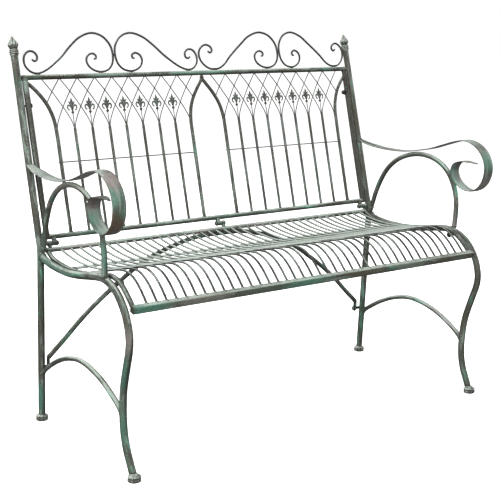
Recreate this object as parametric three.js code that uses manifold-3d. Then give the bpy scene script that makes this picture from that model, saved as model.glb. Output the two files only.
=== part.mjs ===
// Garden bench of bent tube, strip and wire. Millimetres, +Z up, front towards -Y.
// The origin is on the ground, at the middle of the bench's length and depth.
import * as THREE from 'three';
import { mergeVertices } from 'three/addons/utils/BufferGeometryUtils.js';
import Module from 'manifold-3d';

const wasm = await Module();
wasm.setup();

// ---- driving dimensions -------------------------------------------------
const FRAME_HALF = 565; // middle of the bench to the plane of a side frame
const DEPTH_SHIFT = 204.49; // rear foot to the middle of the bench's depth
const GAP = 0.3; // clearance between touching pieces
const SLACK = 0.08; // how far a joined surface may be simplified
const TUBE = 9.5; // radii: posts and legs
const ARCH_TUBE = 7.2;
const STRETCHER_TUBE = 6.8;
const RAIL_TUBE = 7;
const STILE_TUBE = 8;
const SEAT_TUBE = 6.5;
const BAR = 5;
const SPINDLE = 4;
const WIRE = 1.8;
const TIE_WIRE = 1.5;
const SCROLL_ROD = 3;
const SEAT_ROD = 2.8;
const BRACE_TUBE = 6.3;

const FOOT_RADIUS = 16.5;
const FOOT_HEIGHT = 17;
const FRONT_FOOT_Y = -504.5;
const LEG_INSET = 8; // front legs draw in by this at the feet
const POST_INSET = 4; // posts draw in by this at the finials
const STRETCHER_INSET = 5; // side stretchers draw in by this at the front legs
const ARCH_INSET = 3; // an arm arch is set in by this at its rear foot,
const ARCH_SPLAY = 8; // comes out by this at its front foot
const ARCH_BULGE = 5; // and by this at its top

const BACK_TILT = 14.2 * Math.PI / 180; // back panel, from the vertical
const BACK_FOOT = [-34, 475]; // y and z where the tilted plane starts
const BACK_TOP = 457; // top rail, measured up the tilted plane
const BACK_BOTTOM = 34;
const RIM_SHIFT = 1; // rails and stiles sit a little off the middle
const BACK_SHIFT = 6; // and the bars, wires and scrolls within them a little more
const STILE_X = 542.3;
const HALF_CENTRE_BAR = 57; // first arch bar, from the middle
const LAST_BAR = 477; // second arch bar
const PITCH = 52.3; // spindle to spindle
const SPINDLES = 7; // in each half
const FORK = 316; // top of a spindle, where its wires start
const FLEUR = 359.5; // collar of a fleur-de-lis
const TIE = 228;
const POST_TOP = 519;

const SEAT_RODS = 39;
const ROD_PITCH = 26.9;
const SEAT_SIDE_X = 543;
const SEAT_SHIFT = -3.5; // the seat panel is bolted in a little off the middle
const BACK_RAIL = [-40, 476]; // y and z of the seat's back rail
const FRONT_RAIL = [-505, 416]; // and of its front rail
const FRONT_RAIL_SIZE = 18;
const FRONT_RAIL_TILT = 15 * Math.PI / 180;
const STRIP_Y = [-190, -288]; // flat cross strips under the rods
const STRIP_WIDTH = 22;
const STRIP_THICK = 3;
const STRIP_WELD = 1.2; // how far a strip is sunk into the rods it is welded to
const ARM_WIDTH = 36;
const ARM_THICK = 3;
const ARM_SPLAY = 20; // an armrest comes out by this at its front
const ARM_ROOT = 0.6; // its share of width at the post
const ARM_TIP = 0.12; // and at its leaf tip
const ARM_TIP_Y = [-411, -474]; // where the strip narrows to that tip
const ARM_TIP_Z = 668;
const SEAT_BOLT = [-427, 461]; // y and z of the seat's bolt to a side frame
const BRACE_FOOT_Y = 9; // the brace leans with the rear legs
const REAR_LEG_SLOPE = 34 / 475;
const TAB_X = 541; // flattened ends of the brace
const TAB_THICK = 5;
const TAB_WIDTH = 14;
const TAB_LENGTH = 34;
const TAB_BOLT_Z = 149;
const BOLT = 3; // radius of a bolt's shank
const BOLT_HEAD = 6.5; // radius of its head
const HEAD_HEIGHT = 4;
const SPACER = 4.5; // radius of the spacer on a bolt
const POST_NUTS = [3, 13]; // heights of the left and right nuts on the post bolts
const CONNECTORS = [529.5, -3, 534.5]; // left, centre and right, from the middle
const CONNECTOR_AT = [-34, 492]; // y and z of their bolts
const BARREL = 7; // radius of a connector's barrel
const POST_BOLT = 382; // bolt from back panel to post, up the tilted plane

// side frame outlines, as [y, z]
const LEG_LINE = [[-36, 466], [-62, 456], [-100, 449.5], [-150, 446.5], [-209, 447], [-265, 453],
  [-320, 461.5], [-373, 468.5], [-402, 467.5], [-431, 460], [-459, 445], [-482, 423], [-499, 397],
  [-509, 368], [-511.5, 343], [-507, 318], [-495, 285], [-482, 250], [-470.5, 212], [-464, 165],
  [-463, 130], [-466, 97], [-474, 68], [-484, 46], [-494, 26], [-500, 12]];
const ARCH_LINE = [[-44, 474], [-55, 505], [-68, 540], [-90, 583], [-118, 620], [-160, 651],
  [-205, 668], [-250, 675], [-298, 671], [-338, 657], [-368, 636], [-391, 605], [-404, 575],
  [-409, 545], [-409, 515], [-406, 474]];
const ARM_LINE = [[14, 697], [-20, 689], [-60, 683], [-105, 679], [-150, 677.5], [-205, 680],
  [-250, 687], [-300, 697], [-350, 712], [-395, 725], [-430, 730], [-462, 724], [-492, 706],
  [-511, 680], [-516, 652], [-509, 624], [-492, 602], [-466, 589], [-438, 589], [-411, 601],
  [-392, 620], [-386, 642], [-396, 661], [-418, 669], [-443, 669.5], [-474, 667]];
const STRETCHER_LINE = [[-9, 128], [-25, 145], [-58, 166], [-96, 187], [-143, 208], [-189, 222],
  [-234, 229.5], [-278, 228], [-322, 220], [-365, 207], [-408, 187], [-438, 170], [-464, 149]];
const SEAT_SIDE_LINE = [[-40, 474], [-68, 460], [-127, 451], [-185, 449], [-242, 452.5],
  [-323, 464], [-375, 473], [-405, 474], [-430, 469], [-455, 457], [-478, 439], [-500, 418]];
const SEAT_ROD_LINE = [[-40, 480], [-66, 471], [-120, 463], [-200, 459], [-300, 467.5],
  [-380, 481.5], [-412, 482], [-442, 472.5], [-470, 453.5], [-500, 424]];
// back panel outlines, as [x, distance up the tilted plane]
const OUTER_BAR_LINE = [[548, 447], [533, 434.5], [520, 420.5], [508.5, 406], [499.5, 392.5],
  [492, 378], [486.5, 364], [482, 349], [479.5, 335], [478, 318], [477, 290], [477, 34]];
const INNER_BAR_LINE = [[-8, 449], [0, 440], [12.5, 424], [25, 407], [35, 391.5], [43, 376.5],
  [49, 361.5], [52.7, 347], [55.3, 332], [56.8, 317], [57, 290], [57, 34]];
const WIRE_LINE = [[2.2, 300], [2.3, 319], [5.8, 334], [13, 350], [26.2, 374.5], [52.3, 416.5],
  [81.6, 457]];
// an S-scroll, as [outwards from its pair's middle, distance up the plane]
const SCROLL_LINE = [[245, 505], [238, 500], [231, 503], [229, 514], [236, 524], [248, 527],
  [260, 521], [267, 507], [266, 489], [256, 475], [244, 468.5], [231, 467.5], [207, 476],
  [162, 508], [128, 540], [98, 563], [60, 575], [28, 565], [8, 540], [3.6, 513], [9, 489],
  [24, 473], [48, 467.5], [70, 474], [83, 487], [86, 501], [80, 513], [66, 518.5], [56, 512],
  [57.5, 504], [63, 503]];
// the right-hand pair of scrolls has a wider, higher outer curl
const WIDE_CURL = [[243, 520], [235.5, 515.5], [228.5, 522], [232.5, 533], [248, 539],
  [264, 531], [272.5, 516], [271.5, 498], [262, 482], [245, 469.5], [228, 467.3], [213, 469],
  [195, 479], [168, 506]];
const WIDE_SCROLL_LINE = [...WIDE_CURL, ...SCROLL_LINE.slice(WIDE_CURL.length)];
// scrolls: [name, middle of its pair, its side, how far it is stretched, its line]
const SCROLLS = [
  ['scroll_left_outer', -275, -1, 1, SCROLL_LINE],
  ['scroll_left_inner', -275, 1, 1, SCROLL_LINE],
  ['scroll_right_inner', 288, -1, 1.05, WIDE_SCROLL_LINE],
  ['scroll_right_outer', 288, 1, 0.92, WIDE_SCROLL_LINE],
];
// the brace, as [x, z], from the middle out to the bolted tab
const BRACE_LINE = [[0, 460.5], [40, 460], [80, 457.5], [115, 451], [152, 441.5], [190, 430],
  [231, 415], [265, 398], [299, 377], [342, 347], [379, 320], [418, 289], [458, 252.5],
  [498, 213], [541, 164]];

// ---- shapes ---------------------------------------------------------------
// A path that an extrusion follows from point to point.
class Route extends THREE.Curve {
  constructor(points) {
    super();
    this.points = points;
  }

  getPointAt(u) {
    return this.points[Math.round(u * (this.points.length - 1))].clone();
  }

  getTangentAt(u) {
    const last = this.points.length - 1;
    const i = Math.round(u * last);
    const ahead = this.points[Math.min(i + 1, last)];
    const behind = this.points[Math.max(i - 1, 0)];
    return new THREE.Vector3().subVectors(ahead, behind).normalize();
  }
}

function sweep(points, outline) {
  return new THREE.ExtrudeGeometry(outline, {
    steps: points.length - 1,
    bevelEnabled: false,
    extrudePath: new Route(points),
  });
}

function circle(radius, sides) {
  const ring = [];
  for (let k = 0; k < sides; k += 1) {
    const angle = (k + 0.5) / sides * 2 * Math.PI;
    ring.push(new THREE.Vector2(radius * Math.cos(angle), radius * Math.sin(angle)));
  }
  return new THREE.Shape(ring);
}

function smooth(points, steps) {
  const curve = new THREE.CatmullRomCurve3(points, false, 'centripetal');
  return curve.getSpacedPoints(steps);
}

const tube = (points, radius, sides) => sweep(points, circle(radius, sides));
const box = (x, y, z) => new THREE.BoxGeometry(x, y, z);

// A plate stands on the XZ plane; its outline is a list of [x, z].
function plate(outline, thickness) {
  const shape = new THREE.Shape(outline.map(([x, z]) => new THREE.Vector2(x, z)));
  const flat = new THREE.ExtrudeGeometry(shape, { depth: thickness, bevelEnabled: false });
  return flat.translate(0, 0, -thickness / 2).rotateX(Math.PI / 2);
}

// Turned pieces stand along +Z at the origin; the profile is [radius, height].
function turned(profile, segments) {
  const points = profile.map(([radius, height]) => new THREE.Vector2(radius, height));
  return new THREE.LatheGeometry(points, segments).rotateX(Math.PI / 2);
}

function rodAlongX(radius, from, to, sides) {
  const rod = new THREE.CylinderGeometry(radius, radius, to - from, sides);
  return rod.rotateZ(Math.PI / 2).translate((from + to) / 2, 0, 0);
}

// Moves every point sideways; `change` gives the new x.
function bentX(geometry, change) {
  const place = geometry.attributes.position;
  for (let i = 0; i < place.count; i += 1) {
    place.setX(i, change(place.getX(i), place.getY(i), place.getZ(i)));
  }
  return geometry;
}

// ---- solids, for joining and cutting -----------------------------------------
function makeSolid(positions, triangles) {
  return new wasm.Manifold(new wasm.Mesh({
    numProp: 3,
    vertProperties: positions,
    triVerts: new Uint32Array(triangles),
  }));
}

function solid(shape) {
  if (shape instanceof wasm.Manifold) return shape;
  shape.deleteAttribute('normal');
  shape.deleteAttribute('uv');
  const merged = mergeVertices(shape);
  const index = merged.index.array;
  const outward = [];
  const inward = [];
  for (let k = 0; k < index.length; k += 3) {
    const [a, b, c] = index.slice(k, k + 3);
    if (a !== b && b !== c && c !== a) {
      outward.push(a, b, c);
      inward.push(a, c, b);
    }
  }
  const body = makeSolid(merged.attributes.position.array, outward);
  if (body.volume() > 0) return body;
  return makeSolid(merged.attributes.position.array, inward);
}

const join = (...shapes) => wasm.Manifold.union(shapes.map(solid));
const cut = (shape, ...others) => others.reduce(
  (rest, other) => rest.subtract(solid(other)),
  solid(shape),
);

function largest(body) {
  const parts = body.decompose();
  parts.sort((a, b) => b.volume() - a.volume());
  return parts[0];
}

const inSidePlane = (line, x = FRAME_HALF) => line.map(([y, z]) => new THREE.Vector3(x, y, z));

function onBack(x, up, out = 0) {
  return new THREE.Vector3(
    x,
    BACK_FOOT[0] + up * Math.sin(BACK_TILT) - out * Math.cos(BACK_TILT),
    BACK_FOOT[1] + up * Math.cos(BACK_TILT) + out * Math.sin(BACK_TILT),
  );
}

const onBackLine = (line) => line.map(([x, up]) => onBack(x, up));

// Moves a piece built on +Z to a point, with its axis tilted like the back.
function standOnBack(shape, x, up) {
  const p = onBack(x, up);
  return shape.rotateX(-BACK_TILT).translate(p.x, p.y, p.z);
}

// ---- side frames ---------------------------------------------------------
function postPoints() {
  const leg = [[-0.4, FOOT_HEIGHT + GAP - 3], [-31.2, 436]];
  const bend = [[-33.6, 462], [-32, 488]];
  const up = [onBack(0, 40), onBack(0, POST_TOP)];
  const low = [...leg, ...bend].map(([y, z]) => new THREE.Vector3(FRAME_HALF, y, z));
  up.forEach((p) => { p.x = FRAME_HALF; });
  return [...low, ...up];
}

const legPoints = smooth(inSidePlane(LEG_LINE), 30);
const ramp = (value, from, to) => Math.max(0, Math.min(1, (value - from) / (to - from)));

// Small sideways bends of the pieces of a side frame.
const legInset = (x, y, z) => x - LEG_INSET * ramp(z, 330, 0);
const postInset = (x, y, z) => x - POST_INSET * ramp(z, BACK_FOOT[1], 1020);
const archLean = (x, y, z) => x - ARCH_INSET + ARCH_SPLAY * ramp(y, -60, -410)
  + ARCH_BULGE * ramp(z, 470, 675);
const stretcherLean = (x, y) => x - STRETCHER_INSET * ramp(y, 0, -464);

const aboveFoot = () => box(4000, 4000, 4000).translate(0, 0, 2000 + FOOT_HEIGHT + GAP);
const postTube = (extra) => bentX(tube(postPoints(), TUBE + extra, 8), postInset);
const legTube = (extra) => bentX(tube(legPoints, TUBE + extra, 8), legInset);

function rearPost() {
  return solid(postTube(0)).intersect(solid(aboveFoot()));
}

function frontLeg() {
  return cut(legTube(0), postTube(GAP)).intersect(solid(aboveFoot()));
}

function armArch() {
  const arch = tube(smooth(inSidePlane(ARCH_LINE), 20), ARCH_TUBE, 8);
  return cut(bentX(arch, archLean), postTube(GAP), legTube(GAP));
}

// The strip splays outwards, starts narrow at the post and ends in a leaf tip.
function armShape(x, y, z) {
  const [from, to] = ARM_TIP_Y;
  const inTip = y < from && y > to - 6 && Math.abs(z - ARM_TIP_Z) < 15;
  const tip = inTip ? 1 - (1 - ARM_TIP) * ramp(y, from, to) ** 1.6 : 1;
  const root = ARM_ROOT + (1 - ARM_ROOT) * ramp(y, 14, -48);
  return FRAME_HALF + (x - FRAME_HALF) * tip * root + ARM_SPLAY * ramp(y, 0, -420);
}

function armrest() {
  const half = ARM_WIDTH / 2;
  const thick = ARM_THICK / 2;
  const corners = [[half, thick], [-half, thick], [-half, -thick], [half, -thick]];
  const outline = new THREE.Shape(corners.map(([x, y]) => new THREE.Vector2(x, y)));
  const strip = sweep(smooth(inSidePlane(ARM_LINE), 36), outline);
  return cut(bentX(strip, armShape), postTube(GAP));
}

function stretcherTube(extra) {
  const bar = tube(smooth(inSidePlane(STRETCHER_LINE), 11), STRETCHER_TUBE + extra, 8);
  return bentX(bar, stretcherLean);
}

const sideStretcher = () => cut(stretcherTube(0), postTube(GAP), legTube(GAP));

function foot(x, y) {
  const r = FOOT_RADIUS;
  const profile = [[0, 0], [r, 0], [r, 6.5], [r - 1.5, 8], [r, 9.5], [r, 13],
    [r - 4, FOOT_HEIGHT], [0, FOOT_HEIGHT]];
  return turned(profile, 12).translate(x, y, 0);
}

function finial() {
  const profile = [[0, 0], [11.2, 0], [12, 2.5], [11, 5], [12, 7.5], [11, 10], [10.6, 12],
    [13.2, 19], [13.4, 23], [11, 32], [6, 41], [0, 48]];
  return standOnBack(turned(profile, 10), FRAME_HALF - POST_INSET, POST_TOP + GAP);
}

// ---- back panel ----------------------------------------------------------
function backRail(up, extra) {
  const half = STILE_X + STILE_TUBE;
  return tube([onBack(-half, up), onBack(half, up)], RAIL_TUBE + extra, 8);
}

const topRail = (extra) => backRail(BACK_TOP, extra);
const bottomRail = (extra) => backRail(BACK_BOTTOM, extra);

function stileTube(extra, x = STILE_X) {
  const hole = onBack(x, POST_BOLT);
  const drill = boltHole(BOLT + GAP - extra).translate(hole.x, hole.y, hole.z);
  return cut(tube([onBack(x, BACK_BOTTOM), onBack(x, BACK_TOP)], STILE_TUBE + extra, 8), drill);
}

const backStile = () => cut(stileTube(0), topRail(GAP), bottomRail(GAP));

function archBar(line, extra) {
  const bend = smooth(onBackLine(line.slice(0, -1)), 12);
  const straight = onBackLine(line.slice(-1));
  return tube([...bend, ...straight], BAR + extra, 6);
}

// `stile` is how far the stile beside the bar is from the middle of the bars.
function outerBar(stile) {
  const bar = archBar(OUTER_BAR_LINE, 0);
  return largest(cut(bar, topRail(GAP), bottomRail(GAP), stileTube(GAP, stile)));
}

function innerBar() {
  const leftHalf = box(2000, 4000, 4000).translate(GAP / 2 - 1000, 0, 0);
  return cut(archBar(INNER_BAR_LINE, 0), topRail(GAP), bottomRail(GAP), leftHalf);
}

const spindleX = (i) => HALF_CENTRE_BAR + PITCH * i;

function spindle(i) {
  const x = spindleX(i);
  const rod = tube([onBack(x, BACK_BOTTOM), onBack(x, FORK)], SPINDLE, 6);
  return cut(rod, bottomRail(GAP));
}

function forkWire(x, direction) {
  const line = WIRE_LINE.map(([u, up]) => [x + direction * u, up]);
  return tube(onBackLine(line), WIRE, 4);
}

const FLEUR_THICK = 2.6;
// Outline of a fleur-de-lis, one half from its foot to its tip.
const FLEUR_HALF = [[3, -3], [4, 1], [2.2, 4], [4.2, 12], [8.2, 17], [10.2, 14], [7.6, 8.5],
  [9.6, 5], [14, 11], [15.4, 17], [11.5, 22.5], [5.5, 21.5], [9, 29], [4.4, 28], [0, 40]];

function fleur(x) {
  const left = FLEUR_HALF.slice(0, -1).reverse().map(([u, up]) => [-u, up]);
  const stem = tube([onBack(x, FORK - 8), onBack(x, FLEUR)], WIRE, 4);
  return join(standOnBack(plate([...FLEUR_HALF, ...left], FLEUR_THICK), x, FLEUR), stem);
}

function insideBars() {
  const inner = smooth(onBackLine(INNER_BAR_LINE.slice(0, -1)), 12);
  const outer = smooth(onBackLine(OUTER_BAR_LINE.slice(0, -1)), 12).reverse();
  const top = onBackLine([[OUTER_BAR_LINE[0][0], BACK_TOP], [INNER_BAR_LINE[0][0], BACK_TOP]]);
  const outline = [...inner, ...outer, ...top];
  const flat = outline.map((p) => [p.x, (p.z - BACK_FOOT[1]) / Math.cos(BACK_TILT)]);
  return standOnBack(plate(flat, 30), 0, 0);
}

function lattice() {
  const pieces = [];
  for (let i = -1; i <= SPINDLES + 2; i += 1) {
    const x = spindleX(i);
    if (i <= SPINDLES) pieces.push(forkWire(x, 1));
    if (i >= 1) pieces.push(forkWire(x, -1));
    if (i >= 1 && i <= SPINDLES) pieces.push(fleur(x));
  }
  const aboveFork = standOnBack(box(2000, 200, 800).translate(0, 0, 400), 0, FORK + GAP);
  const all = join(...pieces).intersect(solid(insideBars())).intersect(solid(aboveFork));
  const bars = [archBar(OUTER_BAR_LINE, GAP), archBar(INNER_BAR_LINE, GAP)];
  return largest(cut(all, topRail(GAP), ...bars)).simplify(SLACK);
}

function tieWire() {
  const out = -(BAR + TIE_WIRE + GAP);
  const ends = [onBack(HALF_CENTRE_BAR - BAR, TIE, out), onBack(LAST_BAR + BAR, TIE, out)];
  return tube(ends, TIE_WIRE, 6);
}

function scroll(middle, side, stretch, outline) {
  const line = outline.map(([u, up]) => [middle + side * stretch * u, up]);
  return cut(tube(smooth(onBackLine(line), 42), SCROLL_ROD, 5), topRail(GAP));
}

// ---- seat panel ----------------------------------------------------------
function seatBackRail(extra) {
  const half = SEAT_SIDE_X + SEAT_TUBE;
  const ends = [new THREE.Vector3(-half, ...BACK_RAIL), new THREE.Vector3(half, ...BACK_RAIL)];
  return tube(ends, SEAT_TUBE + extra, 8);
}

function seatFrontRail(extra) {
  const size = FRONT_RAIL_SIZE + 2 * extra;
  const length = 2 * (SEAT_SIDE_X + SEAT_TUBE) + 2 * extra;
  return box(length, size, size).rotateX(FRONT_RAIL_TILT).translate(0, ...FRONT_RAIL);
}

// A side rail carries the bolt that holds the seat to its side frame, `frame` from the
// middle of the seat.
function seatSideRail(frame) {
  const points = smooth(inSidePlane(SEAT_SIDE_LINE, SEAT_SIDE_X), 13);
  const from = SEAT_SIDE_X - SEAT_TUBE - HEAD_HEIGHT + 0.5;
  const bolt = boltAlongX(from, SEAT_SIDE_X, frame, SEAT_BOLT);
  const both = join(tube(points, SEAT_TUBE, 8), bolt);
  const leg = legTube(GAP).translate(frame - FRAME_HALF, 0, 0);
  return cut(both, seatBackRail(GAP), seatFrontRail(GAP), leg);
}

function heightAt(y) {
  const k = SEAT_ROD_LINE.findIndex((point) => point[0] < y);
  const [y0, z0] = SEAT_ROD_LINE[k - 1];
  const [y1, z1] = SEAT_ROD_LINE[k];
  return z0 + (z1 - z0) * (y - y0) / (y1 - y0);
}

function seatSlats() {
  const pieces = [];
  for (let i = 0; i < SEAT_RODS; i += 1) {
    const x = ROD_PITCH * (i - (SEAT_RODS - 1) / 2) - SEAT_SHIFT;
    pieces.push(tube(inSidePlane(SEAT_ROD_LINE, x), SEAT_ROD, 4));
  }
  const inside = 2 * (SEAT_SIDE_X - SEAT_TUBE - GAP);
  for (const y of STRIP_Y) {
    const z = heightAt(y) - SEAT_ROD - STRIP_THICK / 2 + STRIP_WELD;
    pieces.push(box(inside, STRIP_WIDTH, STRIP_THICK).translate(0, y, z));
  }
  return cut(join(...pieces), seatBackRail(GAP), seatFrontRail(GAP)).simplify(SLACK);
}

// ---- brace, bolts and connectors -------------------------------------------
// A bolt along X at [y, z], from its head at `from`, with a spacer after `sleeve`.
function boltAlongX(from, sleeve, until, [y, z], height = HEAD_HEIGHT) {
  const pieces = [
    rodAlongX(BOLT_HEAD, from, from + height, 6),
    rodAlongX(BOLT, from, until, 8),
    rodAlongX(SPACER, sleeve, until, 8),
  ];
  return join(...pieces.map((piece) => piece.translate(0, y, z)));
}

const boltHole = (radius) => rodAlongX(radius, -30, 30, 8);

const braceY = (z) => BRACE_FOOT_Y - REAR_LEG_SLOPE * z;

function brace() {
  const middle = TAB_BOLT_Z + TAB_LENGTH / 2 - TAB_WIDTH + 4;
  const half = BRACE_LINE.map(([x, z]) => new THREE.Vector3(x, braceY(z), z));
  const other = half.slice(1).reverse().map((p) => new THREE.Vector3(-p.x, p.y, p.z));
  const ends = [-TAB_X, TAB_X].map((x) => cut(
    box(TAB_THICK, TAB_WIDTH, TAB_LENGTH).translate(x, braceY(middle), middle),
    boltHole(BOLT + GAP).translate(x, braceY(TAB_BOLT_Z), TAB_BOLT_Z),
  ));
  return join(tube(smooth([...other, ...half], 26), BRACE_TUBE, 8), ...ends);
}

function braceBolt() {
  const inside = TAB_X - TAB_THICK / 2 - GAP - HEAD_HEIGHT;
  const outside = TAB_X + TAB_THICK / 2 + GAP;
  const bolt = boltAlongX(inside, outside, FRAME_HALF, [braceY(TAB_BOLT_Z), TAB_BOLT_Z]);
  return cut(bolt, postTube(GAP), stretcherTube(GAP));
}

// `frame` is how far the post's side frame is from the middle of the rails.
function postBolt(frame, height) {
  const p = onBack(0, POST_BOLT);
  const from = STILE_X - STILE_TUBE - height;
  const bolt = boltAlongX(from, STILE_X, frame, [p.y, p.z], height);
  const post = postTube(GAP).translate(frame - FRAME_HALF, 0, 0);
  return largest(cut(bolt, stileTube(GAP), post));
}

// Two lugs, down to the seat panel and up to the back panel, on a bolted barrel.
function connector(x) {
  const [y, z] = CONNECTOR_AT;
  const bolt = boltAlongX(x - 17, x - 13, x + 17, CONNECTOR_AT);
  const barrel = rodAlongX(BARREL, x - 13, x + 15, 12).translate(0, y, z);
  const toBack = box(11, 12, 18).translate(x - 6, y + 4, z + 8);
  const toSeat = box(8, 12, 18).translate(x + 9, y - 3, z - 8);
  return cut(join(barrel, bolt, toBack, toSeat), seatBackRail(GAP), bottomRail(GAP));
}

// ---- materials and nodes ---------------------------------------------------
const VERDIGRIS = { color: 0x5f7d70, roughness: 0.62, metalness: 0.35 };
const DARK_STEEL = { color: 0x3a403a, roughness: 0.5, metalness: 0.6 };

function geometryOf(shape) {
  const source = solid(shape).getMesh();
  const geometry = new THREE.BufferGeometry();
  const positions = new Float32Array(source.vertProperties);
  geometry.setAttribute('position', new THREE.BufferAttribute(positions, 3));
  geometry.setIndex(Array.from(source.triVerts));
  return geometry;
}

function mirrored(geometry) {
  const index = Array.from(geometry.index.array);
  for (let k = 0; k < index.length; k += 3) {
    [index[k], index[k + 1]] = [index[k + 1], index[k]];
  }
  const other = geometry.clone().scale(-1, 1, 1);
  other.setIndex(index);
  return other;
}

function addMesh(group, name, geometry, spec = VERDIGRIS) {
  geometry.computeVertexNormals();
  const mesh = new THREE.Mesh(geometry, new THREE.MeshStandardMaterial(spec));
  mesh.name = name;
  group.add(mesh);
}

// Both shapes given are right-hand ones; the left-hand piece is mirrored.
function addPair(group, name, right, left = right, spec = VERDIGRIS) {
  addMesh(group, `${name}_left`, mirrored(geometryOf(left)), spec);
  addMesh(group, `${name}_right`, geometryOf(right), spec);
}

function makeSideFrames() {
  const group = new THREE.Group();
  addPair(group, 'rear_post', rearPost());
  addPair(group, 'finial', finial());
  addPair(group, 'front_leg', frontLeg());
  addPair(group, 'arm_arch', armArch());
  addPair(group, 'armrest', armrest());
  addPair(group, 'side_stretcher', sideStretcher());
  addPair(group, 'rear_foot', foot(FRAME_HALF, 0));
  addPair(group, 'front_foot', foot(FRAME_HALF - LEG_INSET, FRONT_FOOT_Y));
  return group;
}

function makeRim() {
  const group = new THREE.Group();
  group.position.x = RIM_SHIFT;
  addMesh(group, 'back_top_rail', geometryOf(topRail(0)));
  addMesh(group, 'back_bottom_rail', geometryOf(bottomRail(0)));
  addPair(group, 'back_stile', backStile());
  const right = postBolt(FRAME_HALF - RIM_SHIFT, POST_NUTS[1]);
  const left = postBolt(FRAME_HALF + RIM_SHIFT, POST_NUTS[0]);
  addPair(group, 'post_bolt', right, left, DARK_STEEL);
  return group;
}

function makeBackPanel() {
  const group = new THREE.Group();
  group.position.x = BACK_SHIFT;
  const apart = BACK_SHIFT - RIM_SHIFT;
  addPair(group, 'arch_bar_outer', outerBar(STILE_X - apart), outerBar(STILE_X + apart));
  addPair(group, 'arch_bar_inner', innerBar());
  for (let i = 1; i <= SPINDLES; i += 1) {
    addPair(group, `spindle_${i}`, spindle(i));
  }
  addPair(group, 'lattice', lattice());
  addPair(group, 'tie_wire', tieWire());
  for (const [name, ...shape] of SCROLLS) {
    addMesh(group, name, geometryOf(scroll(...shape)));
  }
  return group;
}

function makeSeat() {
  const group = new THREE.Group();
  group.position.x = SEAT_SHIFT;
  addMesh(group, 'seat_back_rail', geometryOf(seatBackRail(0)));
  addMesh(group, 'seat_front_rail', geometryOf(seatFrontRail(0)));
  const right = seatSideRail(FRAME_HALF - SEAT_SHIFT);
  addPair(group, 'seat_side_rail', right, seatSideRail(FRAME_HALF + SEAT_SHIFT));
  addMesh(group, 'seat_slats', geometryOf(seatSlats()));
  return group;
}

function makeFixings() {
  const group = new THREE.Group();
  const [left, centre, right] = CONNECTORS;
  addPair(group, 'connector', connector(right), connector(left));
  addMesh(group, 'connector_centre', geometryOf(connector(centre)));
  addMesh(group, 'seat_brace', geometryOf(brace()));
  addPair(group, 'brace_bolt', braceBolt(), braceBolt(), DARK_STEEL);
  return group;
}

const bench = new THREE.Group();
bench.name = 'garden_bench';
bench.position.y = DEPTH_SHIFT;
bench.add(makeSideFrames(), makeRim(), makeBackPanel(), makeSeat(), makeFixings());

export default bench;
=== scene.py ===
"""The looks of a garden bench of bent tube, strip and wire, in worn verdigris paint.

Shapes are worked out in millimetres in the bench's own frame (+Z up, front towards -Y,
y = 0 at the rear feet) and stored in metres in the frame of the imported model.
"""
import math
import random

import bmesh
import bpy
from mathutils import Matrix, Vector, noise


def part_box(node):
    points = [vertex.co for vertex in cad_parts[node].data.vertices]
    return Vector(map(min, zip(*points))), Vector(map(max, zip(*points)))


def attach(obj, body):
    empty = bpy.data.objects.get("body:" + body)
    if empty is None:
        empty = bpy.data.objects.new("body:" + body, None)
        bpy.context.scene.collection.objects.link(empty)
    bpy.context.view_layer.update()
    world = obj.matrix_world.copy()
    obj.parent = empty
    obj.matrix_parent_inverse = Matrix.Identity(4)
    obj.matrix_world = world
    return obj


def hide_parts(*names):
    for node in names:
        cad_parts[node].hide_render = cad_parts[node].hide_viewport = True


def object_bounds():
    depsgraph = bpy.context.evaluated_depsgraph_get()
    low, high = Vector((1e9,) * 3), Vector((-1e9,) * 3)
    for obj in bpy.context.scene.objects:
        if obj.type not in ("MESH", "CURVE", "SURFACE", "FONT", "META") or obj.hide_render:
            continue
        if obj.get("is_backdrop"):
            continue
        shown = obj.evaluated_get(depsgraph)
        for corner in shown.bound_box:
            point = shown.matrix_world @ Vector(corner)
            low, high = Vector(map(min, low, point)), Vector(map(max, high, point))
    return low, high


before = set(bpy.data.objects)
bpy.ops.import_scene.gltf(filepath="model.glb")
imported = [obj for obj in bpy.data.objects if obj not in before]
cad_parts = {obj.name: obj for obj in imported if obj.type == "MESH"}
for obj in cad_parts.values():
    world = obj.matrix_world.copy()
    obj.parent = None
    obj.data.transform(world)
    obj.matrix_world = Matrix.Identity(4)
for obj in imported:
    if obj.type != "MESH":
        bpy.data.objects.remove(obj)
cad_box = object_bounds()

# ---- driving sizes, in millimetres ----------------------------------------------
MM = 0.001
TUBE = 9.5
FRAME_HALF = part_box("rear_post_right")[1].x / MM - TUBE
FOOT_LOW, FOOT_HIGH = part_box("rear_foot_right")
DEPTH = (FOOT_LOW.y + FOOT_HIGH.y) / 2 / MM

ARCH_TUBE = 7.2
STRETCHER_TUBE = 6.8
RAIL = 7.0
STILE = 8.0
SEAT_TUBE = 6.5
BAR = 5.0
SPINDLE = 4.0
WIRE = 1.5
TIE_WIRE = 1.5
SCROLL_ROD = 3.0
SEAT_ROD = 3.1
BRACE_TUBE = 6.8

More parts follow.
